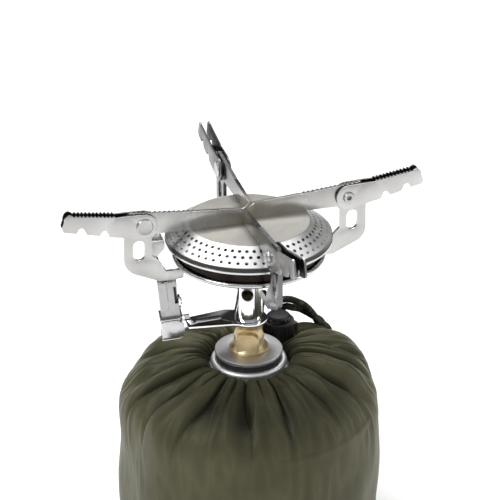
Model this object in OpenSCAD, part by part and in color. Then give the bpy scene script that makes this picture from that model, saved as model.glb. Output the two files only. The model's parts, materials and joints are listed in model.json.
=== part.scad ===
// Folding canister stove: a perforated ring burner under four hinged serrated arms, standing on
// a valve that screws onto a gas canister in a gathered drawstring cover.
// Frame: millimetres, +Z up, origin under the canister's axis; the arms lie along X and Y.

/* [Canister and cover] */
// Diameter of the steel canister
canister_d = 108; // [100:1:112]
// Height of the canister's straight side
canister_side_h = 62; // [50:1:66]
// Diameter of the fabric cover round the canister
cover_d = 111; // [111:0.5:116]
// Outside diameter of the canister's crimped valve collar
collar_d = 32.2; // [32.2:0.1:32.2]
// Height of the top of that collar above the ground
collar_top_z = 85; // [84:0.5:86]

/* [Burner] */
// Diameter of the flat burner cap
cap_d = 50; // [46:1:52]
// Diameter of the perforated flame ring
flame_ring_d = 67.6; // [64:0.2:70]
// Height of the cap's top above the ground
cap_z = 148.5; // [146:0.5:152]
// Drop of the flame ring's cone from the cap to its rim
ring_drop = 5.4; // [4:0.2:7]
// Holes in each of the flame ring's three rows
holes_per_row = 60; // [36:4:64]
// Diameter of a flame hole
flame_hole_d = 1.4; // [1:0.1:1.6]
// Outside diameter of the mixing tube
tube_d = 12.1; // [11:0.1:13]
// Diameter of an air hole in the mixing tube
air_hole_d = 5; // [4:0.5:6]

/* [Pot support] */
// Distance from the stove's axis to an arm's tip
tip_r = 75.5; // [75:0.5:78]
// Distance from the stove's axis to an arm's hinge
pivot_r = 43.2; // [43.2:0.1:43.2]
// Height of the hinge above the burner cap
pivot_h = 4.3; // [4.3:0.1:4.3]
// Thickness of the fixed support strips
strip_t = 1.5; // [1.2:0.1:1.6]
// Thickness of the folding arms' sheet
arm_t = 0.8; // [0.6:0.1:0.9]

/* [Valve] */
// Angle of the valve control about the stove's axis, clockwise from +Y
valve_turn = 22; // [18:1:26]
// Height of the valve spindle's axis above the ground
spindle_z = 94; // [94:0.5:95]
// Reach of the wire handle from the stove's axis
handle_reach = 38; // [34:1:40]
// Diameter of the handle's wire
handle_wire_d = 1.6; // [1.4:0.1:1.6]

/* [Igniter] */
// Lean of the igniter, its top away from the burner
igniter_lean = 5; // [4:0.1:6]
// Turn of the igniter about its own upright axis, clockwise from above
igniter_turn = 8; // [4:1:12]
// Distance from the stove's axis to the foot of the igniter
igniter_r = 32.2; // [32:0.1:33]

/* [Hidden] */
$fn = 64;
STEEL = [0.78, 0.78, 0.76];
BRIGHT = [0.90, 0.90, 0.91];
DARK = [0.12, 0.11, 0.11];
BRASS = [0.74, 0.62, 0.38];
OLIVE = [0.22, 0.23, 0.14];

// clearance between faces that must not touch, and of a running pin
GAP = 0.2;
RUN = 0.06;

// heights of the stack, from the collar up
pad_z = collar_top_z + 0.05;
disc_z = pad_z + 2.25;
disc_top_z = disc_z + 1.8;
cup_floor_z = collar_top_z - 5.5;
nipple_top_z = collar_top_z + 3.4;
bracket_z = cap_z - 45.8;
bracket_t = 1;
tube_z = bracket_z + bracket_t;
pan_floor_z = cap_z - 17.2;
tube_r = tube_d / 2;
tube_bore_r = tube_r - 0.75;

// the handle's hub: its distance from the axis and half its width
hub_at = 15.4;
hub_half = 2.6;

// the collar's rolled edge
curl_r = 1.6;
curl_ring_r = collar_d / 2 - curl_r;
shell_r = canister_d / 2;
cover_r = cover_d / 2;

// flame ring
cap_r = cap_d / 2;
ring_r = flame_ring_d / 2;
ring_t = 0.7;
ring_skirt = 1.9;
ring_slope = atan2(ring_drop, ring_r - cap_r);

// pot support: each strip lies this far to one side of the axis
side = 2;
strip_h0 = 6.1;
leg_r = 51.2;
arm_in = 1.55;
arm_out = arm_in + arm_t;
rivet_r = 1.5;
arm_reach = tip_r - pivot_r;
support_x = -0.6;
// each arm's direction, its offset, and how far its outer end is raised in the stored pose
RIGHT = [0, side, -3];
REAR = [90, -side, -1];
LEFT = [180, side, -4];
FRONT = [270, -side, 3];

// the cover's cord: two strands about one middle line, turned round each other near the lock
cord_d = 3.1;
cord_gap = 3.6;
cord_lock_at = [17.8, 15];
cord_lock_turn = 75;
cord_lock_z = 83.6;
cord_z = 89.6;
CORD_ROUTE = [[19.2, 20.2, 89.6], [19.7, 21.9, 89.8], [20.2, 23.3, 91.2], [20.7, 23.5, 93.2],
    [21.4, 22.5, 95], [22.9, 21.5, 95.9], [25, 21.1, 95.6], [27.3, 21.3, 94.4], [29.6, 22, 93],
    [31.8, 22.9, 91.2], [34, 23.9, 88.8], [36.2, 25, 86.2], [38.3, 26.3, 83.4],
    [40.6, 28, 81.1], [43.1, 30, 78.6], [45.5, 32, 75], [46.6, 33.1, 70.5],
    [46.9, 33.6, 66], [46.9, 33.8, 60], [46.9, 33.8, 52], [46.9, 33.8, 44], [46.9, 33.8, 36],
    [46.9, 33.8, 29], [47.2, 34.1, 22], [48.2, 34.9, 15]];
cord_ref = [-0.3, 0.7, 0.65];

// igniter, in its own leaning frame: x to the stove, z up, 0 under the button
button_travel = 3.2;
button_top = 9.5;
housing_half = 3.85;
housing_z = 7.6;
housing_top = 26;

function arc(c, r, a0, a1, n) = [for (i = [0:n]) let (a = a0 + (a1 - a0) * i / n)
    [c[0] + r * cos(a), c[1] + r * sin(a)]];
function unit(v) = v / norm(v);

// a closed tube swept along the points p, with a flat end at each end; the path never runs
// along the direction ref, which keeps the tube's sides from twisting
module tube_along(p, r, sides, ref = cord_ref) {
    n = len(p);
    tangent = [for (i = [0:n - 1]) unit(p[min(i + 1, n - 1)] - p[max(i - 1, 0)])];
    across = [for (t = tangent) unit(cross(t, ref))];
    rings = [for (i = [0:n - 1], k = [0:sides - 1])
        let (a = 360 * k / sides, v = cross(across[i], tangent[i]))
        p[i] + r * cos(a) * across[i] + r * sin(a) * v];
    faces = concat(
        [[for (k = [0:sides - 1]) k]],
        [[for (k = [sides - 1:-1:0]) (n - 1) * sides + k]],
        [for (i = [0:n - 2], k = [0:sides - 1])
            let (a = i * sides + k, b = i * sides + (k + 1) % sides)
            [a, a + sides, b + sides, b]]);
    polyhedron(points = rings, faces = faces, convexity = 6);
}

module ring_cut(r_out, r_in, z, h) {
    translate([0, 0, z]) difference() {
        cylinder(r = r_out, h = h);
        translate([0, 0, -1]) cylinder(r = r_in, h = h + 2);
    }
}

// ---------------------------------------------------------------- canister and cover

module canister_shell() {
    top = canister_side_h;
    color(BRIGHT) rotate_extrude($fn = 96) polygon([
        [0, 7], [30, 5.6], [46, 1.8], [50, 1], [shell_r - 1, 2.2], [shell_r, 5],
        [shell_r, top], [53, top + 5], [49, 72.5], [42, 75.8], [32, 78], [20, 79.6], [14.1, 80.2],
        [14.1, 83.2], [13.3, 83.2], [13.3, 79.4], [20, 78.8], [32, 77.2], [41.8, 75],
        [48.5, 71.8], [52.2, top + 4.6], [shell_r - 0.8, top], [shell_r - 0.8, 5],
        [50, 1.8], [46, 2.6], [30, 6.4], [0, 7.8]]);
}

module valve_cup() {
    color(BRIGHT) rotate_extrude($fn = 96) {
        difference() {
            translate([curl_ring_r, collar_top_z - curl_r]) circle(r = curl_r, $fn = 40);
            translate([curl_ring_r, collar_top_z - curl_r]) circle(r = curl_r - 0.4, $fn = 40);
            translate([13.3, collar_top_z - 4]) square([2, 4 - curl_r]);
        }
        translate([12.9, cup_floor_z]) square([0.4, collar_top_z - curl_r - cup_floor_z]);
        translate([4.6, cup_floor_z]) square([8.4, 0.4]);
        translate([4.6, cup_floor_z]) square([0.85, nipple_top_z - cup_floor_z]);
        translate([2.6, nipple_top_z - 0.6]) square([2.4, 0.6]);
    }
}

module canister_valve_housing() {
    color("white") rotate_extrude() polygon([[1.2, 70], [4.4, 70], [4.4, cup_floor_z + 3],
        [3.6, cup_floor_z + 3], [3.6, 71], [1.2, 71]]);
}

module canister_valve_stem() {
    color(BRASS) rotate_extrude() polygon([[0, 73.4], [1.2, 73.4], [1.2, 79.4], [3.3, 79.4],
        [3.3, 80.4], [1.3, 80.4], [1.3, nipple_top_z - 1.4], [0, nipple_top_z - 1.4]]);
}

module canister_valve_gasket() {
    color(DARK) ring_cut(4.4, 1.4, cup_floor_z + 3.1, 1.4);
}

module canister_valve_spring() {
    turns = 5;
    per_turn = 14;
    spring_z = 71.6;
    pitch = 1.45;
    path = [for (i = [0:turns * per_turn]) let (a = 360 * i / per_turn)
        [2.3 * cos(a), 2.3 * sin(a), spring_z + pitch * i / per_turn]];
    color(STEEL) tube_along(path, 0.3, 6, [0, 0, 1]);
}

module fabric_cover() {
    top = canister_side_h;
    color(OLIVE) rotate_extrude($fn = 96) polygon([
        [0, 0], [52, 0], [54.4, 1.2], [cover_r, 5], [cover_r, 58], [55.2, top + 5], [53.5, 73],
        [50, 76.8], [44, 79.5], [36, 81], [26, 82.5], [18.4, 83.5], [17.2, 83], [17.2, 82.2],
        [26, 81.2], [36, 79.6], [43.5, 77.6], [49.4, 74.6], [53.6, top + 5.4], [54.4, top],
        [54.4, 5], [53.2, 1.8], [50.4, 0.8], [0, 0.8]]);
}

module drawcord() {
    color(OLIVE) {
        rotate_extrude() translate([19, 80.85]) circle(r = 1, $fn = 16);
        in_cord_lock() for (s = [-1, 1]) translate([-2, s * cord_gap / 2, 1.3])
            cylinder(r = 1, h = cord_z - cord_lock_z - 1.4, $fn = 16);
    }
}

module in_cord_lock() {
    translate([cord_lock_at[0], cord_lock_at[1], cord_lock_z])
        rotate([0, 0, cord_lock_turn]) children();
}

// the sprung lock that grips the cover's cord
module cord_lock_body() {
    wall_r = 6.7;
    h = 8.4;
    window_z = cord_z - cord_lock_z - 1.8;
    color(DARK) in_cord_lock() difference() {
        union() {
            cylinder(r = wall_r - 0.3, h = h);
            translate([0, 0, h - 1]) cylinder(r = wall_r, h = 1);
            for (i = [0:23]) rotate([0, 0, 15 * i]) translate([wall_r - 0.5, -0.4, 0])
                cube([0.5, 0.8, h - 0.5]);
        }
        translate([0, 0, 1]) cylinder(r = 5.2, h = h);
        translate([-4.3, -3.8, -1]) cube([4, 7.6, 3]);
        translate([0, -3.8, window_z]) cube([wall_r + 1, 7.6, h]);
    }
}

module cord_lock_button() {
    color(DARK) in_cord_lock() difference() {
        union() {
            translate([0, 0, 3.7]) cylinder(r = 5.1, h = 6.6);
            translate([0, 0, 10.3]) cylinder(r1 = 5.1, r2 = 4.4, h = 0.7);
        }
        translate([-5.3, -3.8, 4.6]) cube([10.6, 7.6, 5.4]);
        translate([-5.3, -3.8, 3]) cube([5.7, 7.6, 3]);
    }
}

// how far one strand stands off the middle line at the route's point i: level in the lock's
// window, then along the cover's side
function strand_offset(i) = let (p = CORD_ROUTE, n = len(p), turn = 217 * min(i / 12, 1) - 50,
    along = unit(p[min(i + 1, n - 1)] - p[max(i - 1, 0)]),
    across = unit(cord_ref - (cord_ref * along) * along))
    cord_gap / 2 * (across * cos(turn) + cross(along, across) * sin(turn));

module cord_strand(s) {
    path = [for (i = [0:len(CORD_ROUTE) - 1]) CORD_ROUTE[i] + s * strand_offset(i)];
    color(OLIVE) tube_along(path, cord_d / 2, 8);
}

module cord_strand_a() {
    cord_strand(1);
}

module cord_strand_b() {
    cord_strand(-1);
}

module cord_knot() {
    end = CORD_ROUTE[len(CORD_ROUTE) - 1];
    color(OLIVE) translate([end[0], end[1], end[2] - 6.7]) rotate_extrude($fn = 24)
        polygon([[0, -2], [2.2, -2], [3.2, 0.6], [3.2, 3.6], [2.4, 6], [0, 6]]);
}

// ---------------------------------------------------------------- valve

module base_pad() {
    color(DARK) ring_cut(13.9, 7.7, pad_z, disc_z - pad_z);
}

module base_disc() {
    color(STEEL) rotate_extrude($fn = 96) polygon([[7.7, disc_z], [13.9, disc_z],
        [14.3, disc_z + 0.4], [14.3, disc_top_z - 0.3], [14, disc_top_z], [7.7, disc_top_z]]);
}

// brass body: a socket for the canister's nipple, a barrel for the spindle, a spigot for the tube
module valve_body() {
    socket_r = 5.56;
    color(BRASS) rotate([0, 0, -valve_turn]) difference() {
        union() {
            rotate_extrude() polygon([[0, 81], [7.2, 81], [7.6, 81.4], [7.6, disc_top_z],
                [8.2, disc_top_z], [8.2, disc_top_z + 1.2], [7.4, disc_top_z + 1.9], [6.4, 92],
                [6.2, 96], [5.3, 98.6], [5.3, 100], [6.3, 101.6], [6.3, bracket_z],
                [5.25, bracket_z], [5.25, bracket_z + 3.4], [0, bracket_z + 3.4]]);
            intersection() {
                translate([0, -7.2, spindle_z]) rotate([-90, 0, 0]) cylinder(r = 5.4, h = 16.2);
                translate([-4.9, -8, spindle_z - 4.8]) cube([9.8, 18, 9.6]);
            }
        }
        // socket, with its seal's groove at the top
        translate([0, 0, 80]) cylinder(r = socket_r, h = 10.2);
        // gas way up from the socket, past the needle's seat, to the jet
        translate([0, -3, 89]) cylinder(r = 0.8, h = spindle_z - 89);
        translate([0, -4, spindle_z]) rotate([-90, 0, 0]) cylinder(r = 0.8, h = 4.2);
        translate([0, -1.5, spindle_z]) rotate([-90, 0, 0]) cylinder(r1 = 0.8, r2 = 1.6, h = 1);
        translate([0, -0.5, spindle_z]) rotate([-90, 0, 0]) cylinder(r = 1.6, h = 4);
        translate([0, 2.8, spindle_z]) rotate([-90, 0, 0]) cylinder(r = 2.5, h = 7.4);
        translate([0, 6.9, spindle_z]) rotate([-90, 0, 0]) cylinder(r = 3.6, h = 3);
        translate([0, 0, spindle_z]) cylinder(r = 0.8, h = 14);
        translate([0, 0, bracket_z + 0.4]) cylinder(r = 2.5, h = 4);
    }
}

module socket_seal() {
    color(DARK) rotate_extrude() translate([3.6, 89.3]) circle(r = 0.88, $fn = 24);
}

module actuator_pin() {
    color(BRASS) translate([0, 0, nipple_top_z - 1.3]) cylinder(r = 0.9, h = 2.8);
}

module gas_filter() {
    color(STEEL) translate([0, 0, bracket_z + 0.4]) difference() {
        cylinder(r = 2.4, h = 0.6);
        translate([0, 0, -1]) cylinder(r = 0.6, h = 3);
    }
}

module gas_jet() {
    color(BRASS) translate([0, 0, bracket_z + 1.1]) difference() {
        union() {
            cylinder(r = 2.48, h = 2.3);
            translate([0, 0, 2.3]) cylinder(r = 2.9, h = 2, $fn = 6);
            translate([0, 0, 4.3]) cylinder(r1 = 2, r2 = 1.1, h = 1.2);
        }
        translate([0, 0, -1]) cylinder(r = 0.9, h = 5);
        translate([0, 0, 3]) cylinder(r = 0.2, h = 4);
    }
}

// what lies along the spindle's axis: x outwards becomes the axis
module on_spindle(s) {
    rotate([0, 0, -valve_turn]) translate([0, s, spindle_z]) rotate([-90, 0, 0]) children();
}

module gland_nut() {
    color(BRASS) on_spindle(6.95) difference() {
        union() {
            cylinder(r = 3.55, h = 2.1);
            translate([0, 0, 2.1]) cylinder(r = 4.7, h = 3, $fn = 6);
        }
        translate([0, 0, -1]) cylinder(r = 2.5, h = 8);
    }
}

module spindle_oring() {
    color(DARK) on_spindle(6) rotate_extrude() translate([2.11, 0]) circle(r = 0.35, $fn = 20);
}

module spindle() {
    color(BRASS) difference() {
        union() {
            on_spindle(-1.7) cylinder(r1 = 0.4, r2 = 1.15, h = 1.9);
            on_spindle(0.2) cylinder(r = 1.15, h = 3.3);
            on_spindle(3.4) cylinder(r = 2.45, h = 2.1);
            on_spindle(5.5) cylinder(r = 1.7, h = 1);
            on_spindle(6.5) cylinder(r = 2.45, h = hub_at - 2.4 - 6.5);
            on_spindle(hub_at - 2.5) intersection() {
                cylinder(r = 3.2, h = 5);
                translate([-hub_half, -4, 0]) cube([2 * hub_half, 8, 5]);
            }
        }
        // the handle's ends sit in this cross hole
        rotate([0, 0, -valve_turn]) translate([-5, hub_at, spindle_z]) rotate([0, 90, 0])
            cylinder(r = handle_wire_d / 2 + RUN, h = 10);
    }
}

// one bent wire: two ends in the hub, two legs and a round end
module handle_wire() {
    r = handle_wire_d / 2;
    half = hub_half + GAP + r;
    bend = 1.2;
    color(BRIGHT) rotate([0, 0, -valve_turn]) translate([0, hub_at, spindle_z]) {
        for (s = [-1, 1]) {
            translate([s * 0.4, 0, 0]) rotate([0, s * 90, 0]) cylinder(r = r, h = half - bend - 0.4);
            translate([s * (half - bend), bend, 0]) rotate([0, 0, s > 0 ? -90 : 180])
                rotate_extrude(angle = 90) translate([bend, 0]) circle(r = r, $fn = 32);
            translate([s * half, bend, 0]) rotate([-90, 0, 0])
                cylinder(r = r, h = handle_reach - hub_at - half - r - bend);
        }
        translate([0, handle_reach - hub_at - half - r, 0])
            rotate_extrude(angle = 180) translate([half, 0]) circle(r = r, $fn = 32);
    }
}

// ---------------------------------------------------------------- burner

module mixing_tube() {
    color(BRIGHT) rotate([0, 0, -valve_turn]) difference() {
        rotate_extrude() polygon([[tube_bore_r, tube_z], [tube_r, tube_z],
            [tube_r, pan_floor_z + 0.8], [tube_r + 1.6, pan_floor_z + 0.8],
            [tube_r + 1.6, pan_floor_z + 1.4], [tube_bore_r, pan_floor_z + 1.4]]);
        for (a = [0, 90]) rotate([0, 0, a]) translate([-10, 0, cap_z - 31.8]) rotate([0, 90, 0])
            cylinder(d = air_hole_d, h = 20);
    }
}

// dish with a rolled bead and a dark upright wall under the flame ring
module burner_pan() {
    floor_z = pan_floor_z;
    bead_z = cap_z - 14.7;
    wall_top = cap_z - 3.9;
    color(DARK) rotate_extrude($fn = 96) {
        polygon([[tube_r, floor_z], [28, floor_z], [29.6, floor_z + 1.8], [29.6, bead_z],
            [29.4, bead_z + 0.6], [29.4, wall_top - 0.6], [28.8, wall_top], [28.8, floor_z + 2.2],
            [27.6, floor_z + 0.8], [tube_r, floor_z + 0.8]]);
        translate([30.4, bead_z]) circle(r = 1.05, $fn = 40);
    }
}

module burner_baffle() {
    color(STEEL) translate([0, 0, cap_z - 9.4]) difference() {
        cylinder(r = 28.7, h = 0.6, $fn = 96);
        for (i = [0:11]) rotate([0, 0, 30 * i]) translate([22, 0, -1]) cylinder(r = 2.2, h = 3);
        for (i = [0:5]) rotate([0, 0, 60 * i]) translate([12, 0, -1]) cylinder(r = 1.6, h = 3);
    }
}

// conical ring with three staggered rows of flame holes and a rolled skirt
module flame_ring() {
    rim_z = cap_z - ring_drop;
    color(BRIGHT) difference() {
        rotate_extrude($fn = 96) polygon([[cap_r - 2, cap_z - 0.8], [cap_r, cap_z - 0.8],
            [cap_r, cap_z], [ring_r, rim_z], [ring_r, rim_z - ring_skirt],
            [ring_r + 0.3, rim_z - ring_skirt], [ring_r + 0.3, rim_z - ring_skirt - 0.7],
            [ring_r - ring_t, rim_z - ring_skirt - 0.7], [ring_r - ring_t, rim_z - 0.4],
            [cap_r - 0.6, cap_z - 1.5], [cap_r - 2, cap_z - 1.5]]);
        for (row = [0:2], i = [0:holes_per_row - 1]) {
            f = 0.24 + 0.27 * row;
            rotate([0, 0, 360 * (i + (row % 2) / 2) / holes_per_row])
                translate([cap_r + f * (ring_r - cap_r), 0, cap_z - f * ring_drop])
                rotate([0, ring_slope, 0]) translate([0, 0, -1.6])
                cylinder(d = flame_hole_d, h = 3, $fn = 16);
        }
    }
}

module burner_cap() {
    color(STEEL) rotate_extrude($fn = 96) polygon([[0, cap_z - 0.8], [cap_r - 0.05, cap_z - 0.8],
        [cap_r - 0.05, cap_z - 0.2], [cap_r - 0.3, cap_z], [0, cap_z]]);
}

// ---------------------------------------------------------------- pot support

// a saw edge from a to b, as points on the way
function teeth(a, b, pitch, depth) = let (n = round(norm(b - a) / pitch), d = (b - a) / n,
    up = [-d[1], d[0]] / norm(d) * (d[0] < 0 ? -1 : 1))
    [for (i = [0:n - 1]) for (k = [0:3]) a + d * (i + [0, 0.3, 0.5, 0.8][k])
        - up * depth * [0, 0, 1, 1][k]];

// side outline of a fixed strip: x out from the axis, y up from the burner cap
function strip_outline() = concat(
    [[0, 0], [38.6, 0], [40.2, -1.6], [40.2, -9.6], [36.4, -13.4], [34.8, -17.2]],
    arc([29.6, -19.4], 2.2, 90, 225, 6),
    arc([31.2, -19], 2.5, 240, 270, 3),
    [[37.4, -21.3]],
    arc([44.6, -10.4], 7, -60, 0, 6),
    arc([pivot_r, pivot_h], leg_r - pivot_r + 0.01, 0, 48, 6),
    teeth([48.3, 10.2], [23, 7.9], 1.9, 0.35),
    [[22, 7.6], [0, strip_h0]]);

// one arm of a fixed strip, in a frame with x outwards
module strip_arm(w, start) {
    translate([0, w + strip_t / 2, cap_z]) rotate([90, 0, 0]) difference() {
        intersection() {
            linear_extrude(strip_t) polygon(strip_outline());
            translate([start, -40, -1]) cube([80, 80, 4]);
        }
        translate([pivot_r, pivot_h, -1]) cylinder(r = rivet_r + 0.02, h = 4);
        // rounded slot in the leg
        for (dz = [-1.95, 1.95]) translate([45.5, -6.6 + dz, -1]) cylinder(r = 2.4, h = 4);
        translate([43.1, -6.6 - 1.95, -1]) cube([4.8, 3.9, 4]);
    }
}

// a strip runs in along one arm, turns across the axis on the diagonal and out along the next
module support_strip(turn) {
    bend = side + strip_t / sqrt(2);
    reach = strip_t / 2 * tan(22.5) - 0.01;
    web = (side + bend) * sqrt(2);
    color(STEEL) translate([support_x, 0, 0]) rotate([0, 0, turn]) {
        rotate([0, 0, 180]) strip_arm(side, bend - reach);
        rotate([0, 0, 90]) strip_arm(-side, bend - reach);
        translate([-bend, -side, cap_z]) rotate([0, 0, 45]) translate([-reach, -strip_t / 2, 0])
            cube([web + 2 * reach, strip_t, strip_h0]);
    }
}

module support_strip_left_rear() {
    support_strip(0);
}

module support_strip_front_right() {
    support_strip(180);
}

// at each arm's hinge: x outwards, z across the strip, 0 in the strip's middle plane
module at_hinges() {
    for (a = [RIGHT, REAR, LEFT, FRONT]) translate([support_x, 0, cap_z + pivot_h])
        rotate([0, 0, a[0]]) translate([pivot_r, a[1], 0]) rotate([-90, 0, 0]) children();
}

module hinge_rivets() {
    head_z = arm_out + 0.05;
    color(STEEL) at_hinges() difference() {
        union() {
            translate([0, 0, -head_z - 0.7]) cylinder(r = rivet_r, h = 2 * head_z + 0.8);
            translate([0, 0, head_z]) rotate_extrude() polygon([[0, 0], [3.35, 0], [3.35, 0.35],
                [3, 0.7], [2.2, 0.55], [0, 0.5]]);
            translate([0, 0, -head_z - 0.7]) cylinder(r1 = 2.1, r2 = 2.4, h = 0.7);
        }
        translate([0, 0, -head_z - 1]) cylinder(r = 1, h = 2);
    }
}

module hinge_spacers() {
    h = arm_in - 0.05 - strip_t / 2;
    color(STEEL) at_hinges() for (z = [strip_t / 2, -strip_t / 2 - h]) translate([0, 0, z])
        difference() {
            cylinder(r = 3.4, h = h);
            translate([0, 0, -1]) cylinder(r = rivet_r + 0.02, h = 4);
        }
}

// side outline of a folding arm, from its hinge
function arm_outline() = concat(
    arc([0, 0], 5.2, 90, 292, 14),
    [[14.4, -1.5], [15.1, 1.1], [15.8, 1.6], [16.6, 1.5], [18.2, -0.2], [23, 1.3], [24, 3.9],
        [25, 4.6], [26.2, 4], [27, 2.6], [31, 3.7]],
    arc([arm_reach - 1.6, 5.3], 1.6, -75, 15, 4),
    arc([arm_reach - 4, 7.9], 3, 0, 80, 5),
    teeth([28, 10.3], [10.4, 6.6], 1.5, 0.55),
    [[7, 5.9]]);

module arm_cut(z, t) {
    translate([0, 0, z]) linear_extrude(t) difference() {
        polygon(arm_outline());
        circle(r = rivet_r + RUN);
    }
}

// a folding arm is a channel: two toothed plates joined by two webs along their lower edge
module folding_arm(a) {
    color(STEEL) translate([support_x, 0, cap_z + pivot_h]) rotate([0, 0, a[0]])
        translate([pivot_r, a[1], 0]) rotate([90, 0, 0]) rotate([0, 0, a[2]]) {
            arm_cut(arm_in, arm_t);
            arm_cut(-arm_out, arm_t);
            translate([0, 0, -arm_in - 0.01]) linear_extrude(2 * arm_in + 0.02) {
                polygon([[9.2, -2.9], [13.8, -1.6], [13.6, -0.85], [9.2, -2.15]]);
                polygon([[18.6, 0.05], [22.6, 1.3], [22.3, 2], [18.4, 0.8]]);
            }
        }
}

module arm_right() {
    folding_arm(RIGHT);
}

module arm_rear() {
    folding_arm(REAR);
}

module arm_left() {
    folding_arm(LEFT);
}

module arm_front() {
    folding_arm(FRONT);
}

// ---------------------------------------------------------------- igniter

module in_igniter() {
    translate([-igniter_r, 1.5, 100]) rotate([0, 0, -igniter_turn])
        rotate([0, -igniter_lean, 0]) children();
}

// plate clamped under the mixing tube, with an arm out to a tab behind the igniter
module igniter_bracket() {
    end_x = -26.1;
    tab_y = 5;
    color(STEEL) {
        difference() {
            translate([0, 0, bracket_z]) linear_extrude(bracket_t) union() {
                circle(r = 7.7);
                polygon([[-2, -6.6], [-8, -4.2], [end_x, -1.6], [end_x, 6.6], [-8, 9.2],
                    [-2, 7.2]]);
            }
            translate([0, 0, bracket_z - 1]) cylinder(r = 5.3, h = 4);
        }
        translate([-16.5, 2.8, bracket_z + bracket_t - 0.01]) rotate([0, 0, 3]) linear_extrude(0.5)
            polygon(concat(arc([4, 0], 1.6, -90, 90, 8), arc([-4, 0], 1.6, 90, 270, 8)));
        in_igniter() {
            translate([-3.4, tab_y, 2.4]) cube([11.4, 0.9, 2.6]);
            translate([-3.4, tab_y, 2.4]) cube([6.8, 0.9, 17.6]);
            for (z = [14.8, 18.5]) translate([0, housing_half, z]) rotate([-90, 0, 0])
                cylinder(r = 1.3, h = tab_y - housing_half + 0.1);
        }
    }
}

module igniter_clip() {
    color(BRIGHT) in_igniter() translate([housing_half, -2.2, 12.9]) difference() {
        union() {
            cube([0.9, 4, 4.2]);
            translate([0.8, 2, 2.1]) rotate([0, 90, 0]) cylinder(r = 1.5, h = 0.6);
        }
        translate([-1, 2, 2.1]) rotate([0, 90, 0]) cylinder(r = 0.7, h = 6);
    }
}

// square sheet tube with two pressed strips on its front and an opening beside them
module igniter_housing() {
    half = housing_half;
    wall = 0.55;
    h = housing_top - housing_z;
    color(BRIGHT) in_igniter() difference() {
        union() {
            translate([-half, -half, housing_z]) cube([2 * half, 2 * half, h]);
            translate([-half + 0.1, -half - 0.35, 12.9]) cube([3.2, 0.5, housing_top - 13.1]);
            translate([-0.3, -half - 0.35, 17.2]) cube([2.3, 0.5, housing_top - 17.4]);
        }
        translate([-half + wall, -half + wall, housing_z - 1])
            cube([2 * (half - wall), 2 * (half - wall), h]);
        translate([2.3, -half - 1, 15.8]) cube([3, 4.4, 7.6]);
        translate([0, 0, housing_top - 2]) cylinder(r = 1.3, h = 3);
    }
}

module piezo_module() {
    half = 3.05;
    color(DARK) in_igniter() difference() {
        union() {
            translate([-half, -half, 12.8]) cube([2 * half, 2 * half, 11.2]);
            translate([0, 0, 23.9]) cylinder(r = 1.2, h = 2.5);
        }
        translate([0, 0, 11]) cylinder(r = 1.87, h = 10.5);
    }
}

// sleeve that slides up over the housing's foot, with its plunger, a lip above and below
// and a round-sided pad on its front
module igniter_button() {
    inside = housing_half + 0.15;
    half = inside + 0.45;
    color(BRIGHT) in_igniter() {
        difference() {
            union() {
                translate([0, 0, 0.4]) linear_extrude(button_top - 0.8) button_outline(half);
                for (z = [0, button_top - 0.5]) translate([0, -0.5, z]) linear_extrude(0.5)
                    button_outline(half + 0.2);
                translate([0, 1 - half, 0]) rotate([90, 0, 0]) linear_extrude(1.9) button_pad(half);
            }
            translate([0, 0, 0.6]) difference() {
                linear_extrude(button_top) square(2 * inside, center = true);
                translate([0, 0, -0.1]) cylinder(r = 1.8, h = button_top);
            }
        }
        translate([0, 0, 0.3]) cylinder(r = 1.8, h = 15.7);
    }
}

// the button in plan: square at the back, rounded at the front
module button_outline(half) {
    polygon(concat([[-half, half], [-half, -half]],
        arc([half - 2.4, -half + 2.4], 2.4, -90, 0, 6), [[half, half]]));
}

// the button's front pad: straight at the left, round at the right
module button_pad(half) {
    r = button_top / 2 - 0.7;
    mid = button_top / 2;
    polygon(concat(arc([half + 0.5 - r, mid], r, -90, 90, 14),
        arc([-half + 1.4, mid + r - 1.4], 1.4, 90, 180, 4),
        arc([-half + 1.4, mid - r + 1.4], 1.4, 180, 270, 4)));
}

// insulated lead from the igniter's top to the electrode
module ignition_lead() {
    path = [[-34.1, 1.5, 126.5], [-34.6, 1.7, 128.2], [-35.4, 2.2, 129.9], [-36.4, 3.1, 131.3],
        [-37.3, 4, 132.8], [-37.9, 4.4, 134.6], [-38, 4.5, 136.5]];
    color(DARK) tube_along(path, 0.9, 8);
}

// small angle plate riveted behind the left leg, which holds the electrode
module electrode_bracket() {
    color(STEEL) difference() {
        union() {
            translate([0, 1, cap_z]) rotate([90, 0, 0]) linear_extrude(0.8)
                polygon([[-43.4, -13], [-39.6, -13], [-35, -8.4], [-35, -4.9], [-41.4, -4.9],
                    [-43.4, -8.6]]);
            translate([-41.4, 0.2, cap_z - 5.7]) cube([6.4, 7, 0.8]);
            translate([-41.8, -side + strip_t / 2, cap_z - 11.4]) rotate([-90, 0, 0])
                cylinder(r = 1, h = side + 0.9 - strip_t / 2);
        }
        translate([-38, 4.5, cap_z - 8]) cylinder(r = 1.5, h = 6);
    }
}

module electrode_insulator() {
    color("white") translate([-38, 4.5, 0]) difference() {
        union() {
            translate([0, 0, cap_z - 11.9]) cylinder(r = 1.45, h = 9);
            translate([0, 0, cap_z - 4.85]) cylinder(r = 2, h = 1.2);
        }
        translate([0, 0, cap_z - 13]) cylinder(r = 0.5, h = 12);
    }
}

module electrode_wire() {
    path = [[-38, 4.5, cap_z - 11], [-38, 4.5, cap_z - 7], [-38, 4.5, cap_z - 3],
        [-37.9, 4.5, cap_z - 1.8], [-37.2, 4.6, cap_z - 1], [-36, 4.7, cap_z - 0.8],
        [-34.5, 4.8, cap_z - 1.2], [-33.4, 4.8, cap_z - 2]];
    color(STEEL) tube_along(path, 0.4, 8);
}

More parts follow.
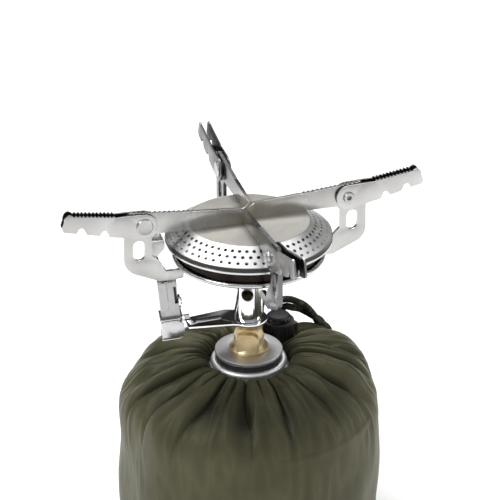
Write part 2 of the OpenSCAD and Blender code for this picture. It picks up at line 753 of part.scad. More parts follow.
canister_shell();
valve_cup();
canister_valve_housing();
canister_valve_stem();
canister_valve_gasket();
canister_valve_spring();
fabric_cover();
drawcord();
cord_lock_body();
cord_lock_button();
cord_strand_a();
cord_strand_b();
cord_knot();
base_disc();
base_pad();
valve_body();
socket_seal();
actuator_pin();
gas_filter();
gas_jet();
gland_nut();
spindle_oring();
spindle();
handle_wire();
mixing_tube();
burner_pan();
burner_baffle();
flame_ring();
burner_cap();
support_strip_left_rear();
support_strip_front_right();
hinge_rivets();
hinge_spacers();
arm_right();
arm_rear();
arm_left();
arm_front();
igniter_bracket();
igniter_housing();
igniter_clip();
piezo_module();
igniter_button();
ignition_lead();
electrode_bracket();
electrode_insulator();
electrode_wire();
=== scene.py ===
"""Looks for the canister stove: a camera, two braided cords, a gathered fabric cover and the
materials of every CAD piece. Everything is in metres, in the CAD model's frame."""

import json
import math

import bpy
import numpy as np
from mathutils import Euler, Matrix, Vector, noise


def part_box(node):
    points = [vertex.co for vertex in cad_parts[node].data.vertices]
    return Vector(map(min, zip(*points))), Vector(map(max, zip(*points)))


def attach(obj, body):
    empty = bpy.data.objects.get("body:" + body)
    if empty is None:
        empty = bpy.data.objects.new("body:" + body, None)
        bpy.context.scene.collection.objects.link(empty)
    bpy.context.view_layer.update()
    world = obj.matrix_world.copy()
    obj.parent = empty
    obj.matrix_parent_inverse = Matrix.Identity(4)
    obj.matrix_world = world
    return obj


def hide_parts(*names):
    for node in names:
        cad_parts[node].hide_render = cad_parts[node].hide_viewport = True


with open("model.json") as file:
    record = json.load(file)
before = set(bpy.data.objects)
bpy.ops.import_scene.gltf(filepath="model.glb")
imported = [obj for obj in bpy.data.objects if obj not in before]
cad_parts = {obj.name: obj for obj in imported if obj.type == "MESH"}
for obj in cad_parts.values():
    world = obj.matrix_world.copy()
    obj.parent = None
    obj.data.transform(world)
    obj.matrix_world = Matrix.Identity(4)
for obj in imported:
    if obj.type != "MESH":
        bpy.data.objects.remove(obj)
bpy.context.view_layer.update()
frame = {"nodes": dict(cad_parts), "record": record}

MM = 0.001
TAU = 2 * math.pi
rng = np.random.default_rng(7)


# ---------------------------------------------------------------- small helpers


def new_object(name, mesh):
    obj = bpy.data.objects.new(name, mesh)
    bpy.context.scene.collection.objects.link(obj)
    return obj


def mesh_object(name, points, faces):
    """A smooth-shaded mesh."""
    mesh = bpy.data.meshes.new(name)
    mesh.from_pydata([tuple(p) for p in points], [], faces)
    mesh.update()
    mesh.polygons.foreach_set("use_smooth", [True] * len(mesh.polygons))
    return new_object(name, mesh)


def grid_faces(rows, columns):
    """Quads of a grid of rows x columns points, closed round its columns."""
    return [
        (i * columns + j, i * columns + (j + 1) % columns,
         (i + 1) * columns + (j + 1) % columns, (i + 1) * columns + j)
        for i in range(rows - 1)
        for j in range(columns)
    ]


def smoothstep(a, b, x):
    t = np.clip((np.asarray(x, float) - a) / (b - a), 0, 1)
    return t * t * (3 - 2 * t)


def resampled(points, step):
    """Points at even steps along a smooth (Catmull-Rom) curve through the given points."""
    p = np.array(points, float)
    pad = np.vstack([2 * p[0] - p[1], p, 2 * p[-1] - p[-2]])
    fine = []
    for i in range(1, len(pad) - 2):
        a, b, c, d = pad[i - 1], pad[i], pad[i + 1], pad[i + 2]
        for t in np.linspace(0, 1, 24, endpoint=False):
            fine.append(0.5 * ((2 * b) + (c - a) * t + (2 * a - 5 * b + 4 * c - d) * t**2
                               + (3 * b - a - 3 * c + d) * t**3))
    fine.append(p[-1])
    fine = np.array(fine)
    along = np.concatenate([[0], np.cumsum(np.linalg.norm(np.diff(fine, axis=0), axis=1))])
    n = max(2, int(round(along[-1] / step)))
    want = np.linspace(0, along[-1], n + 1)
    return np.stack([np.interp(want, along, fine[:, k]) for k in range(3)], axis=1)


def frames_along(path):
    """Tangents and two steady cross directions at each point of a path."""
    t = np.gradient(path, axis=0)
    t /= np.linalg.norm(t, axis=1)[:, None]
    u = np.cross(t[0], [0.3, 0.9, 0.2])
    u /= np.linalg.norm(u)
    us, vs = [], []
    for k in t:
        u = u - k * np.dot(u, k)
        u /= np.linalg.norm(u)
        us.append(u)
        vs.append(np.cross(k, u))
    return t, np.array(us), np.array(vs)


# ---------------------------------------------------------------- camera

VIEW_TURN = math.radians(-16.55)  # the camera stands to the left of the -Y side
VIEW_DOWN = math.radians(26.13)
CAMERA_AT = (-165.2 * MM, -557.8 * MM, 420.0 * MM)
CAMERA_LENS = 114.55


def make_camera():
    camera = bpy.data.cameras.new("camera")
    camera.lens = CAMERA_LENS
    camera.sensor_width = 36
    obj = new_object("camera", camera)
    obj.location = CAMERA_AT
    obj.rotation_euler = Euler((math.pi / 2 - VIEW_DOWN, 0, VIEW_TURN))
    bpy.context.scene.camera = obj


make_camera()


# ---------------------------------------------------------------- cords

CORD_D = 3.1 * MM
CORD_GAP = 3.6 * MM  # between the middle lines of the two strands
TAIL_D = 2.3 * MM  # the cord where it is pulled tight in the knot
# a direction that the cords never run along
CORD_REF = np.array([-0.3, 0.7, 0.65])
# points of the two strands' common middle line, in millimetres
CORD_ROUTE = [(19.2, 20.2, 89.6), (19.7, 21.9, 89.8), (20.2, 23.3, 91.2), (20.7, 23.5, 93.2),
              (21.4, 22.5, 95), (22.9, 21.5, 95.9), (25, 21.1, 95.6), (27.3, 21.3, 94.4),
              (29.6, 22, 93), (31.8, 22.9, 91.2), (34, 23.9, 88.8), (36.2, 25, 86.2),
              (38.3, 26.3, 83.4), (40.6, 28, 81.1), (43.1, 30, 78.6), (45.5, 32, 75),
              (46.6, 33.1, 70.5), (46.9, 33.6, 66), (46.9, 33.8, 60), (46.9, 33.8, 52),
              (46.9, 33.8, 44), (46.9, 33.8, 36), (46.9, 33.8, 29), (47.2, 34.1, 22),
              (48.2, 34.9, 15)]


BRAID_AROUND = 42  # points round the cord
BRAID_STEP = 0.16 * MM  # between rings of points
BRAID_YARNS = 7  # each way round
BRAID_TURNS = 2.6  # turns of a yarn over one diameter's length


def braided_tube(name, path, diameter):
    """A round braid: crossing diagonal yarns stand up from a tube along the path."""
    line = resampled(path, BRAID_STEP)
    _, u, v = frames_along(line)
    angle = np.linspace(0, TAU, BRAID_AROUND, endpoint=False)
    weave = TAU * (BRAID_TURNS * np.arange(len(line))[:, None] * BRAID_STEP / diameter)
    yarns = BRAID_YARNS * angle[None, :]
    over = np.maximum(np.sin(yarns + weave), np.sin(yarns - weave))
    radius = diameter / 2 * (0.90 + 0.10 * over)
    from_start = np.arange(len(line))
    taper = smoothstep(0, 4, np.minimum(from_start, len(line) - 1 - from_start))
    radius *= 0.55 + 0.45 * taper[:, None]
    points = (line[:, None, :] + radius[..., None] * (np.cos(angle)[None, :, None] * u[:, None, :]
              + np.sin(angle)[None, :, None] * v[:, None, :])).reshape(-1, 3)
    faces = grid_faces(len(line), BRAID_AROUND)
    last_ring = (len(line) - 1) * BRAID_AROUND
    faces.append(tuple(range(BRAID_AROUND - 1, -1, -1)))
    faces.append(tuple(last_ring + k for k in range(BRAID_AROUND)))
    tube = mesh_object(name, points, faces)
    yarn = tube.data.attributes.new("yarn", "FLOAT", "POINT")
    yarn.data.foreach_set("value", np.clip(0.5 + 0.5 * over, 0, 1).ravel())
    return tube, line


STRAND_START = -50  # degrees round the middle line at the lock
STRAND_TURN = 217  # degrees from there
TURNED_POINTS = 12  # of the route, over which the strands turn


def strand_route(side):
    """One strand's points: the two turn round each other between the lock and the cover's edge."""
    points = np.array(CORD_ROUTE) * MM
    route = []
    for i, p in enumerate(points):
        along = points[min(i + 1, len(points) - 1)] - points[max(i - 1, 0)]
        along /= np.linalg.norm(along)
        across = CORD_REF - np.dot(CORD_REF, along) * along
        across /= np.linalg.norm(across)
        turn = math.radians(STRAND_TURN * min(i / TURNED_POINTS, 1) + STRAND_START)
        away = across * math.cos(turn) + np.cross(along, across) * math.sin(turn)
        route.append(tuple(p + side * CORD_GAP / 2 * away))
    return route


def make_knot():
    """Both strands tied together in one overhand knot, with two short tails."""
    low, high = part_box("cord_knot")
    middle = (low + high) / 2
    size = (high.x - low.x) / 2
    loop = []
    for i in range(49):
        t = TAU * i / 48
        r = 0.62 * size * (1 + 0.42 * math.cos(3 * t))
        loop.append((middle.x + r * math.cos(2 * t), middle.y + r * math.sin(2 * t),
                     middle.z + 1.2 * MM + 0.42 * size * math.sin(3 * t)))
    knot, _ = braided_tube("cord_knot_tied", loop, TAIL_D)
    tails = []
    for side in (-1, 1):
        x = middle.x - side * 0.7 * MM
        y = middle.y + side * 1.0 * MM
        tail = [(x, y, middle.z), (x, y, middle.z - 2 * MM),
                (x * 1.004, y + side * 0.3 * MM, low.z)]
        tails.append(braided_tube(f"cord_tail_{len(tails) + 1}", tail, TAIL_D)[0])
    return [knot, *tails]


def make_cords():
    pieces = []
    knot = make_knot()
    for name, side, extra in (("a", 1, knot), ("b", -1, [])):
        route = strand_route(side)
        strand, line = braided_tube(f"braided_cord_{name}", route, CORD_D)
        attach(strand, "canister")
        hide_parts(f"cord_strand_{name}")
        pieces.append(strand)
    for piece in knot:
        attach(piece, "canister")
    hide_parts("cord_knot")
    return pieces + knot


cords = make_cords()


# ---------------------------------------------------------------- shader helpers


class Shader:
    """A material under construction: short names for the nodes that it uses."""

    def __init__(self, name):
        self.material = bpy.data.materials.new(name)
        self.material.use_nodes = True
        self.nodes = self.material.node_tree.nodes
        self.links = self.material.node_tree.links
        self.nodes.clear()
        self.out = self.nodes.new("ShaderNodeOutputMaterial")
        self.bsdf = self.nodes.new("ShaderNodeBsdfPrincipled")
        self.links.new(self.bsdf.outputs[0], self.out.inputs[0])
        self.place = self.nodes.new("ShaderNodeTexCoord").outputs["Object"]

    def set(self, **values):
        for key, value in values.items():
            self.bsdf.inputs[key.replace("_", " ")].default_value = value
        return self

    def link(self, value, socket):
        if isinstance(value, bpy.types.NodeSocket):
            self.links.new(value, socket)
        else:
            socket.default_value = value

    def feed(self, key, value):
        self.link(value, self.bsdf.inputs[key])

    def stretched(self, scale):
        node = self.nodes.new("ShaderNodeMapping")
        node.inputs["Scale"].default_value = scale
        self.links.new(self.place, node.inputs["Vector"])
        return node.outputs[0]

    def noise(self, scale, detail=3, rough=0.5, place=None):
        node = self.nodes.new("ShaderNodeTexNoise")
        node.inputs["Scale"].default_value = scale
        node.inputs["Detail"].default_value = detail
        node.inputs["Roughness"].default_value = rough
        self.links.new(place or self.place, node.inputs["Vector"])
        return node.outputs["Fac"]

    def wave(self, scale, direction, distortion):
        node = self.nodes.new("ShaderNodeTexWave")
        node.bands_direction = direction
        node.inputs["Scale"].default_value = scale
        node.inputs["Distortion"].default_value = distortion
        node.inputs["Detail Scale"].default_value = 2
        self.links.new(self.place, node.inputs["Vector"])
        return node.outputs["Fac"]

    def math(self, kind, a, b=0.0):
        node = self.nodes.new("ShaderNodeMath")
        node.operation = kind
        self.link(a, node.inputs[0])
        self.link(b, node.inputs[1])
        return node.outputs[0]

    def scaled(self, value, low, high, from_low=0.0, from_high=1.0):
        node = self.nodes.new("ShaderNodeMapRange")
        node.inputs["From Min"].default_value = from_low
        node.inputs["From Max"].default_value = from_high
        node.inputs["To Min"].default_value = low
        node.inputs["To Max"].default_value = high
        self.link(value, node.inputs["Value"])
        return node.outputs[0]

    def blend(self, factor, a, b):
        node = self.nodes.new("ShaderNodeMix")
        node.data_type = "RGBA"
        self.link(factor, node.inputs["Factor"])
        self.link(a if isinstance(a, bpy.types.NodeSocket) else (*a, 1), node.inputs[6])
        self.link(b if isinstance(b, bpy.types.NodeSocket) else (*b, 1), node.inputs[7])
        return node.outputs[2]

    def bump(self, height, strength, distance, normal=None):
        node = self.nodes.new("ShaderNodeBump")
        node.inputs["Strength"].default_value = strength
        node.inputs["Distance"].default_value = distance
        self.links.new(height, node.inputs["Height"])
        if normal:
            self.links.new(normal, node.inputs["Normal"])
        return node.outputs[0]

    def xyz(self):
        node = self.nodes.new("ShaderNodeSeparateXYZ")
        self.links.new(self.place, node.inputs[0])
        return node.outputs

    def radius(self):
        x, y, _ = self.xyz()
        return self.math("SQRT", self.math("ADD", self.math("MULTIPLY", x, x), self.math("MULTIPLY", y, y)))


def sheet_metal(name, color, dark, rough, grain=(900, 900, 60), grain_depth=0.25):
    """Rolled or brushed sheet: a fine one-way grain, cloudy tone and uneven gloss."""
    s = Shader(name)
    lines = s.noise(1, 4, 0.6, s.stretched(grain))
    cloud = s.noise(55, 3, 0.55)
    s.base = s.blend(s.scaled(cloud, 0, 1, 0.35, 0.7), color, dark)
    s.rough = s.math("ADD", s.scaled(cloud, rough - 0.05, rough + 0.07, 0.3, 0.7),
                     s.scaled(lines, -0.05, 0.05))
    s.feed("Base Color", s.base)
    s.feed("Roughness", s.rough)
    s.feed("Normal", s.bump(lines, grain_depth, 0.00003))
    s.set(Metallic=1.0)
    return s


def stainless():
    """Rolled sheet of the pot support, straw coloured by the flames, with a painted darker reflection
    towards the front and rear.
    """
    s = sheet_metal("stainless_sheet", (0.57, 0.57, 0.56), (0.48, 0.47, 0.45), 0.28)
    heat = s.math("MULTIPLY", s.scaled(s.radius(), 0.45, 0, 0.004, 0.026), s.noise(110, 3, 0.6))
    x, y, _ = s.xyz()
    # painted reflection: the sheet's colour is darkened towards the front and rear, where |y| exceeds |x|
    front_rear = s.math("SUBTRACT", s.math("ABSOLUTE", y), s.math("ABSOLUTE", x))
    front_rear_painted_reflection = s.scaled(front_rear, 0, 1, 0.006, 0.018)
    sheet = s.blend(front_rear_painted_reflection, s.base, (0.19, 0.19, 0.19))
    s.feed("Base Color", s.blend(heat, sheet, (0.40, 0.30, 0.18)))
    return s.material


def cap_sheet():
    """The burner cap: duller sheet with an even fine grain, faintly straw coloured."""
    s = sheet_metal("burner_cap_sheet", (0.52, 0.51, 0.48), (0.44, 0.42, 0.38), 0.42, (500, 500, 500), 0.1)
    return s.material


def arm_sheet(name, axis, middle, tone=0.61):
    """The support's sheet, with the faces between an arm's two plates painted near-black as shade."""
    s = sheet_metal(name, (tone, tone, 0.98 * tone), (0.83 * tone, 0.81 * tone, 0.79 * tone), 0.28)
    across = s.math("ABSOLUTE", s.math("SUBTRACT", s.xyz()[axis], middle * MM))
    # painted shade: the inner faces between the two plates are darkened to near-black
    inside = s.scaled(across, 1, 0, 1.57 * MM, 1.66 * MM)
    s.feed("Base Color", s.blend(inside, s.base, (0.018, 0.017, 0.017)))
    s.feed("Roughness", s.math("ADD", s.rough, s.math("MULTIPLY", inside, 0.2)))
    return s.material


def ring_steel():
    """The flame ring: a pale blasted cone over a dark upright skirt with a bright lip."""
    s = sheet_metal("ring_steel", (0.70, 0.70, 0.70), (0.60, 0.60, 0.60), 0.36, (300, 300, 300), 0.12)
    low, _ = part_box("flame_ring")
    z = s.xyz()[2]
    lip = low.z + 0.75 * MM
    skirt = s.math("MULTIPLY", s.scaled(z, 0, 1, lip, lip + 0.1 * MM),
                   s.scaled(z, 1, 0, lip + 1.7 * MM, lip + 2.1 * MM))
    s.feed("Base Color", s.blend(skirt, s.base, (0.05, 0.045, 0.042)))
    s.feed("Roughness", s.math("SUBTRACT", s.rough, s.scaled(z, 0.14, 0, lip, lip + 0.1 * MM)))
    return s.material


def polished(name, color=(0.90, 0.90, 0.91), rough=0.08):
    s = Shader(name)
    smudge = s.noise(120, 4, 0.6)
    s.feed("Roughness", s.scaled(smudge, rough, rough + 0.10, 0.35, 0.75))
    s.feed("Base Color", s.blend(s.scaled(smudge, 0, 1, 0.4, 0.8), color, tuple(0.88 * c for c in color)))
    s.feed("Normal", s.bump(s.noise(700, 2), 0.04, 0.00003))
    s.set(Metallic=1.0)
    return s.material


def burner_pan():
    """Wall painted near-black as dark reflection and shade, above a bright rolled bead."""
    s = Shader("burner_pan")
    _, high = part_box("burner_pan")
    bead_in = high.x - 1.6 * MM
    bright = s.scaled(s.radius(), 0, 1, bead_in, bead_in + 0.15 * MM)
    pan_noise = s.noise(90, 4, 0.6)
    # painted reflection and shade: the wall above the bead is near-black
    dark = s.blend(s.scaled(pan_noise, 0, 1, 0.35, 0.7), (0.012, 0.010, 0.009), (0.030, 0.024, 0.020))
    s.feed("Base Color", s.blend(bright, dark, (0.62, 0.62, 0.62)))
    s.feed("Roughness", s.scaled(pan_noise, 0.16, 0.32, 0.3, 0.7))
    s.set(Metallic=1.0)
    return s.material


def brass():
    s = Shader("cast_brass")
    grain = s.noise(1600, 3, 0.6)
    tone = s.noise(140, 3, 0.5)
    s.feed("Base Color", s.blend(s.scaled(tone, 0, 1, 0.3, 0.7), (0.70, 0.56, 0.33), (0.55, 0.42, 0.23)))
    s.feed("Roughness", s.scaled(tone, 0.34, 0.50, 0.3, 0.7))
    s.feed("Normal", s.bump(grain, 0.25, 0.00004))
    s.set(Metallic=1.0)
    return s.material


def turned(name, color, rough):
    """Turned metal: faint circles about the stove's axis."""
    s = Shader(name)
    rings = s.math("SINE", s.math("MULTIPLY", s.radius(), 14000.0))
    cloud = s.noise(80, 3)
    s.feed("Base Color", s.blend(s.scaled(cloud, 0, 1, 0.3, 0.75), color, tuple(0.9 * c for c in color)))
    s.feed("Roughness", s.scaled(cloud, rough, rough + 0.1, 0.3, 0.7))
    s.feed("Normal", s.bump(rings, 0.08, 0.00002))
    s.set(Metallic=1.0)
    return s.material


def rubber():
    s = Shader("black_rubber")
    grain = s.noise(900, 3)
    s.feed("Base Color", s.blend(grain, (0.008, 0.008, 0.008), (0.022, 0.022, 0.022)))
    s.feed("Roughness", s.scaled(grain, 0.5, 0.7))
    s.feed("Normal", s.bump(grain, 0.2, 0.00005))
    return s.material


def black_plastic():
    s = Shader("black_plastic")
    grain = s.noise(2200, 2)
    scuff = s.noise(160, 4, 0.7)
    worn = s.scaled(scuff, 0, 1, 0.5, 0.8)
    s.feed("Base Color", s.blend(worn, (0.010, 0.010, 0.011), (0.030, 0.030, 0.030)))
    s.feed("Roughness", s.scaled(scuff, 0.36, 0.52, 0.3, 0.7))
    s.feed("Normal", s.bump(grain, 0.15, 0.00004))
    return s.material


def white_plastic(name, color, rough):
    s = Shader(name)
    tone = s.noise(200, 2)
    s.feed("Base Color", s.blend(tone, color, tuple(0.9 * c for c in color)))
    s.feed("Roughness", s.scaled(tone, rough, rough + 0.08))
    s.feed("Normal", s.bump(s.noise(1500, 2), 0.05, 0.00003))
    return s.material


def cover_fabric():
    """Tightly woven satin nylon: a fine weave, soft sheen and slightly uneven dye, with painted shade
    darkening the folds' creases.
    """
    s = Shader("cover_fabric")
    tone = s.noise(38, 4, 0.6)
    warp = s.wave(1500, "DIAGONAL", 0.4)
    weft = s.wave(1500, "Z", 0.4)
    weave = s.math("MULTIPLY", warp, weft)
    pucker = s.noise(420, 3, 0.55)
    ridge = s.nodes.new("ShaderNodeAttribute")
    ridge.attribute_name = "ridge"
    cloth = s.blend(s.scaled(tone, 0, 1, 0.3, 0.7), (0.066, 0.064, 0.034), (0.094, 0.091, 0.049))
    # painted shade: the cloth goes near-black where the ridge attribute is low, in creases and the gathered
    # folds
    raised = s.scaled(ridge.outputs["Fac"], 0, 1, 0.12, 0.9)
    s.feed("Base Color", s.blend(raised, (0.009, 0.009, 0.006), cloth))
    s.feed("Roughness", s.scaled(weave, 0.42, 0.56))
    fine = s.bump(weave, 0.35, 0.00006)
    s.feed("Normal", s.bump(pucker, 0.30, 0.00035, fine))
    s.set(Sheen_Weight=0.10, Sheen_Roughness=0.4, Sheen_Tint=(0.75, 0.75, 0.5, 1), Specular_IOR_Level=0.22,
          Specular_Tint=(1.0, 0.98, 0.75, 1))
    return s.material


def cord_braid():
    """Braided polyester: painted near-black shade between the yarns, olive with pale flecks on them."""
    s = Shader("cord_braid")
    fibre = s.noise(1400, 2, 0.5)
    fleck = s.noise(520, 2, 0.6)
    yarn = s.nodes.new("ShaderNodeAttribute")
    yarn.attribute_name = "yarn"
    crown = s.scaled(yarn.outputs["Fac"], 0, 1, 0.72, 1.0)
    olive = s.blend(s.scaled(fibre, 0, 1, 0.35, 0.65), (0.020, 0.021, 0.013), (0.045, 0.047, 0.028))
    pale = s.blend(s.scaled(fleck, 0, 1, 0.52, 0.60), olive, (0.16, 0.165, 0.11))
    # painted shade: near-black where the yarn attribute is low, in the grooves between the yarns
    s.feed("Base Color", s.blend(crown, (0.005, 0.005, 0.004), pale))
    s.feed("Roughness", s.scaled(fibre, 0.6, 0.85))
    s.feed("Normal", s.bump(fibre, 0.4, 0.00008))
    s.set(Specular_IOR_Level=0.25)
    return s.material


def painted_steel():
    s = Shader("canister_paint")
    tone = s.noise(60, 3)
    s.feed("Base Color", s.blend(tone, (0.72, 0.73, 0.74), (0.62, 0.63, 0.65)))
    s.feed("Roughness", s.scaled(tone, 0.28, 0.4))
    s.set(Metallic=0.6, Coat_Weight=0.3, Coat_Roughness=0.15)
    return s.material


MATERIALS = {
    "canister_steel": painted_steel(),
    "bright_steel": polished("polished_steel"),
    "valve_plastic": white_plastic("valve_plastic", (0.80, 0.80, 0.77), 0.4),
    "brass": brass(),
    "black_rubber": rubber(),
    "spring_steel": polished("spring_steel", (0.66, 0.66, 0.67), 0.2),
    "cover_fabric": cover_fabric(),
    "cord_braid": cord_braid(),
    "black_plastic": black_plastic(),
    "grey_aluminium": turned("turned_aluminium", (0.60, 0.60, 0.60), 0.44),
    "stainless_sheet": stainless(),
    "ring_steel": ring_steel(),
    # the pan's near-black wall in this slot is painted reflection and shade
    "heat_dark_steel": burner_pan(),
    "ceramic": white_plastic("glazed_ceramic", (0.86, 0.85, 0.80), 0.12),
}

# pieces whose finish differs from the rest of their slot; the rear and front arms' darker tones are painted
# reflection
PIECE_MATERIALS = {
    "hinge_rivets": polished("rivet_steel", (0.52, 0.52, 0.51), 0.30),
    "valve_cup": polished("collar_steel", (0.92, 0.92, 0.92), 0.46),
    "burner_cap": cap_sheet(),
    "arm_right": arm_sheet("arm_right_sheet", 1, 2),
    "arm_left": arm_sheet("arm_left_sheet", 1, -2),
    # painted reflection: tones 0.13 for the rear arm and 0.36 for the front, against 0.61 for the left and
    # right
    "arm_rear": arm_sheet("arm_rear_sheet_painted_reflection", 0, 1.4, 0.13),
    "arm_front": arm_sheet("arm_front_sheet_painted_reflection", 0, -2.6, 0.36),
    "igniter_housing": polished("igniter_housing_steel", (0.44, 0.44, 0.44), 0.22),
    "igniter_button": polished("igniter_button_steel", (0.62, 0.62, 0.63), 0.2),
}


def paint(obj, material):
    obj.data.materials.clear()
    obj.data.materials.append(material)


# ---------------------------------------------------------------- CAD pieces


def smooth_by_angle():
    """Geometry nodes that shade smooth and keep edges sharper than the angle hard."""
    group = bpy.data.node_groups.new("smooth_by_angle", "GeometryNodeTree")
    group.interface.new_socket("Geometry", in_out="INPUT", socket_type="NodeSocketGeometry")
    group.interface.new_socket("Geometry", in_out="OUTPUT", socket_type="NodeSocketGeometry")
    n, link = group.nodes, group.links.new
    start, end = n.new("NodeGroupInput"), n.new("NodeGroupOutput")
    faces, edges = n.new("GeometryNodeSetShadeSmooth"), n.new("GeometryNodeSetShadeSmooth")
    edges.domain = "EDGE"
    angle, wide = n.new("GeometryNodeInputMeshEdgeAngle"), n.new("FunctionNodeCompare")
    wide.operation = "GREATER_THAN"
    wide.inputs["B"].default_value = math.radians(32)
    edges.inputs["Shade Smooth"].default_value = False
    link(start.outputs[0], faces.inputs["Geometry"])
    link(faces.outputs[0], edges.inputs["Geometry"])
    link(angle.outputs["Unsigned Angle"], wide.inputs["A"])
    link(wide.outputs["Result"], edges.inputs["Selection"])
    link(edges.outputs[0], end.inputs[0])
    return group


SMOOTH = smooth_by_angle()
# how far each slot's edges are rounded; pressed sheet has small radii, rubber large ones
EDGE_ROUND = {"stainless_sheet": 0.14, "ring_steel": 0.10, "grey_aluminium": 0.22, "brass": 0.25,
              "black_rubber": 0.2, "bright_steel": 0.15, "black_plastic": 0.2}
# pieces too fine, or too full of small curved faces, to round safely
NO_ROUND = {"flame_ring", "valve_cup", "canister_valve_spring", "gas_jet", "ignition_lead",
            "electrode_wire", "spindle_oring", "socket_seal", "handle_wire", "burner_pan"}


def dress_cad():
    slot_of = {s["node"]: s["material_slot"] for s in frame["record"]["subparts"]}
    for name, obj in frame["nodes"].items():
        slot = slot_of[name]
        paint(obj, PIECE_MATERIALS.get(name, MATERIALS[slot]))
        weld = obj.modifiers.new("weld", "WELD")
        weld.merge_threshold = 0.002 * MM
        if slot in EDGE_ROUND and name not in NO_ROUND:
            bevel = obj.modifiers.new("edge", "BEVEL")
            bevel.width = EDGE_ROUND[slot] * MM
            bevel.segments = 2
            bevel.limit_method = "ANGLE"
            bevel.angle_limit = math.radians(40)
            bevel.use_clamp_overlap = True
        smooth = obj.modifiers.new("smooth", "NODES")
        smooth.node_group = SMOOTH


dress_cad()
for cord in cords:
    paint(cord, MATERIALS["cord_braid"])


# ---------------------------------------------------------------- fabric cover


def cover_profile():
    """Half outline of the cover from the middle of its foot to the gathered mouth."""
    side = 55.4
    points = [(0, 0.4), (20, 0.4), (40, 0.4), (50, 0.5), (53.4, 1.6), (55, 4.5), (side, 10),
              (side, 20), (side, 32), (side, 44), (side, 54), (55.2, 62), (54.2, 68.5),
              (51.8, 73.6), (47.6, 77.4), (42, 79.8), (36, 81.4), (30, 82.9), (25, 84.1),
              (21.6, 84.6), (19.2, 84), (17.9, 82.6), (17.6, 81.4)]
    line = resampled([(r, 0.0, z) for r, z in points], 0.25)[:, [0, 2]]
    # short steps where the pleats are, long ones down the side and under the foot
    rows = [0]
    while rows[-1] < len(line) - 1:
        step = 3 if line[rows[-1], 1] > 60 else 12
        rows.append(min(rows[-1] + step, len(line) - 1))
    return line[rows]


def room_inside(profile):
    """How far each point of the cover's outline stands off the canister."""
    outline = resampled([(0, 0, 7), (30, 0, 5.6), (46, 0, 1.8), (50, 0, 1), (53, 0, 2.2), (54, 0, 5),
                         (54, 0, 30), (54, 0, 62), (53, 0, 67), (49, 0, 72.5), (42, 0, 75.8),
                         (32, 0, 78), (20, 0, 79.6), (14.1, 0, 80.2)], 0.3)[:, [0, 2]]
    return np.array([np.linalg.norm(outline - p, axis=1).min() for p in profile])


def fold(f, skew):
    """Height across a pleat: 0 in the creases at its sides, 1 on its rounded ridge."""
    return np.abs(np.sin(math.pi * f**skew)) ** 0.45


COVER_COLUMNS = 720
PLEATS = 17
SEAM_AT = 2.3  # radians round the cover
LEAST_GAP = 0.6  # between the canister and the cloth's outside
LOCK_AT = (17.8, 15)  # the middle of the seat under the cord lock
SEAT_Z = 83.4


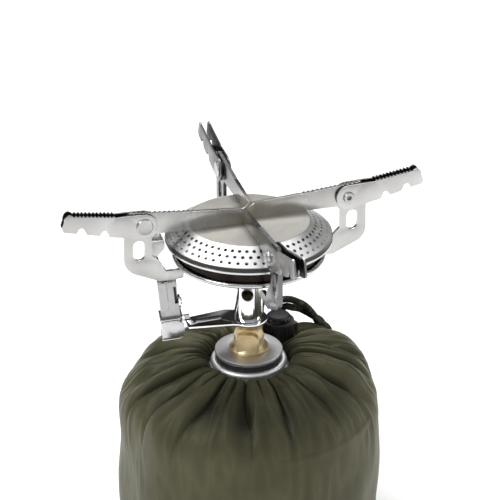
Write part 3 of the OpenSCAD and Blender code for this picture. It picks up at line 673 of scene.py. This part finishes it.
def make_cover():
    """The cover's cloth, row by row from the foot to the mouth, in millimetres until the end."""
    columns = COVER_COLUMNS
    profile = cover_profile()
    room = room_inside(profile)
    r0, z0 = profile[:, 0], profile[:, 1]
    run = np.concatenate([[0], np.cumsum(np.linalg.norm(np.diff(profile, axis=0), axis=1))])
    tangent = np.gradient(profile, run, axis=0)
    tangent /= np.linalg.norm(tangent, axis=1)[:, None]
    normal = np.stack([tangent[:, 1], -tangent[:, 0]], axis=1)
    theta = np.linspace(0, TAU, columns, endpoint=False)
    # 0 at the mouth, growing outwards and down the side
    run = run[-1] - run
    pleats = PLEATS
    knots = np.sort((np.arange(pleats) + 0.36 * rng.uniform(-1, 1, pleats)) / pleats)
    knots = np.concatenate([[knots[-1] - 1], knots, [knots[0] + 1]])
    reach = rng.uniform(0.2, 1.0, 4 * pleats)
    deep = rng.uniform(0.55, 1.2, 4 * pleats)
    skew = rng.uniform(0.7, 1.45, 4 * pleats)
    points = np.zeros((len(profile), columns, 3))
    ridge = np.zeros((len(profile), columns))
    for i in range(len(profile)):
        s = run[i]
        bend = (0.10 * np.sin(2 * theta + 0.6) + 0.07 * np.sin(5 * theta + 2)
                + 0.04 * np.sin(9 * theta + s * 0.08)) * smoothstep(2, 46, s)
        turn = (theta / TAU + bend / TAU) % 1
        place = np.interp(turn, knots, np.arange(pleats + 2) - 1) % pleats
        broad = np.floor(place).astype(int) % pleats
        half = np.floor(2 * place).astype(int) % (2 * pleats)
        quarter = np.floor(4 * place).astype(int) % (4 * pleats)
        rise = smoothstep(0, 6, s)
        big = fold(place % 1, skew[broad]) * deep[broad]
        gather = 1 - smoothstep(24, 34 + 26 * reach[broad], s)
        big *= (0.25 + 0.75 * smoothstep(1, 16, s)) * gather
        mid = fold((2 * place) % 1, skew[half + pleats]) * deep[half + pleats]
        mid *= (0.3 + 0.7 * rise) * (1 - smoothstep(9, 18 + 22 * reach[half], s))
        small = fold((4 * place) % 1, skew[quarter]) * deep[quarter]
        small *= 1 - smoothstep(4, 9 + 12 * reach[quarter], s)
        height = 5.0 * big + 2.6 * mid + 0.9 * small - 1.9 * (1 - smoothstep(26, 50, s))
        x = r0[i] * np.cos(theta)
        y = r0[i] * np.sin(theta)
        wave = np.array([noise.noise(Vector((a * 0.05, b * 0.05, z0[i] * 0.035))) for a, b in zip(x, y)])
        ruck = np.array([noise.noise(Vector((10 * math.cos(a), 10 * math.sin(a), s * 0.05 + 7)))
                         for a in theta])
        crease = np.abs(ruck) ** 0.8
        soft = smoothstep(3, 14, z0[i]) * smoothstep(4, 14, s)
        height += (2.0 * wave - 1.0 * crease * (1 - 0.7 * smoothstep(40, 70, s))) * soft
        height += 0.45 * np.exp(-((theta - SEAM_AT) * r0[i] / 0.9) ** 2) * smoothstep(12, 22, s)
        height = np.maximum(height, LEAST_GAP - room[i])
        # painted shade for the cloth's colour: 0 deep in a fold, 1 on open cloth
        open_cloth = 1 - 0.75 * gather
        raised = 0.5 * big + 0.3 * mid + 0.1 * small - 0.35 * crease * soft
        ridge[i] = np.clip(open_cloth + raised - 0.12, 0, 1)
        r = r0[i] + normal[i, 0] * height
        points[i, :, 0] = r * np.cos(theta)
        points[i, :, 1] = r * np.sin(theta)
        points[i, :, 2] = np.maximum(z0[i] + normal[i, 1] * height, 0.1)
        # the cord lock presses a flat seat into the folds
        off_seat = np.hypot(points[i, :, 0] - LOCK_AT[0], points[i, :, 1] - LOCK_AT[1])
        points[i, :, 2] = np.minimum(points[i, :, 2], SEAT_Z + 9 * smoothstep(7.0, 12.5, off_seat))
    cover = mesh_object("gathered_cover", points.reshape(-1, 3) * MM, grid_faces(len(profile), columns))
    shade = cover.data.attributes.new("ridge", "FLOAT", "POINT")
    shade.data.foreach_set("value", ridge.ravel())
    cloth = cover.modifiers.new("cloth", "SOLIDIFY")
    cloth.thickness = 0.3 * MM
    cloth.offset = -1
    paint(cover, MATERIALS["cover_fabric"])
    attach(cover, "canister")
    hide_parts("fabric_cover")
    return cover


make_cover()


# ---------------------------------------------------------------- stage and light


def make_stage():
    mesh = bpy.data.meshes.new("floor")
    half = 4.0
    corners = [(-half, -half, 0), (half, -half, 0), (half, half, 0), (-half, half, 0)]
    mesh.from_pydata(corners, [], [(0, 1, 2, 3)])
    floor = new_object("floor", mesh)
    s = Shader("pale_floor")
    s.feed("Base Color", s.blend(s.noise(6, 2), (0.90, 0.90, 0.90), (0.93, 0.93, 0.93)))
    s.set(Roughness=0.7)
    paint(floor, s.material)


def area_light(name, place, size, power, aim=(0, 0, 0.12)):
    light = bpy.data.lights.new(name, "AREA")
    light.shape = "RECTANGLE"
    light.size, light.size_y = size
    light.energy = power
    obj = new_object(name, light)
    obj.location = place
    obj.rotation_euler = (Vector(aim) - Vector(place)).to_track_quat("-Z", "Y").to_euler()


def make_world():
    """A dark studio with a bright ceiling and a dim band along the horizon."""
    world = bpy.data.worlds.new("studio")
    bpy.context.scene.world = world
    world.use_nodes = True
    tree = world.node_tree
    where = tree.nodes.new("ShaderNodeTexCoord").outputs["Generated"]
    split = tree.nodes.new("ShaderNodeSeparateXYZ")
    ramp = tree.nodes.new("ShaderNodeValToRGB")
    tree.links.new(where, split.inputs[0])
    tree.links.new(split.outputs["Z"], ramp.inputs[0])
    stops = [(0.0, 0.30), (0.12, 0.20), (0.26, 0.025), (0.62, 0.025), (0.80, 0.75), (1.0, 0.85)]
    while len(ramp.color_ramp.elements) < len(stops):
        ramp.color_ramp.elements.new(0.5)
    for element, (at, level) in zip(ramp.color_ramp.elements, stops):
        element.position = at
        element.color = (level, level, level, 1)
    # the side behind the camera glows softly at every height
    glow = tree.nodes.new("ShaderNodeMapRange")
    glow.inputs["From Min"].default_value = -1.0
    glow.inputs["From Max"].default_value = -0.3
    glow.inputs["To Min"].default_value = 0.45
    glow.inputs["To Max"].default_value = 0.0
    tree.links.new(split.outputs["Y"], glow.inputs["Value"])
    both = tree.nodes.new("ShaderNodeMath")
    both.operation = "ADD"
    tree.links.new(ramp.outputs[0], both.inputs[0])
    tree.links.new(glow.outputs[0], both.inputs[1])
    tree.links.new(both.outputs[0], tree.nodes["Background"].inputs[0])
    tree.nodes["Background"].inputs[1].default_value = 1.0


def make_light():
    bpy.context.scene.view_settings.view_transform = "Standard"
    make_world()
    area_light("key", (-0.75, -0.25, 0.85), (0.35, 0.35), 5)
    area_light("fill", (1.0, -0.35, 0.5), (0.3, 0.7), 2.5)
    area_light("backdrop", (0.2, 1.1, 2.2), (2.4, 1.2), 62, (0.2, 1.2, 0))


make_stage()
make_light()
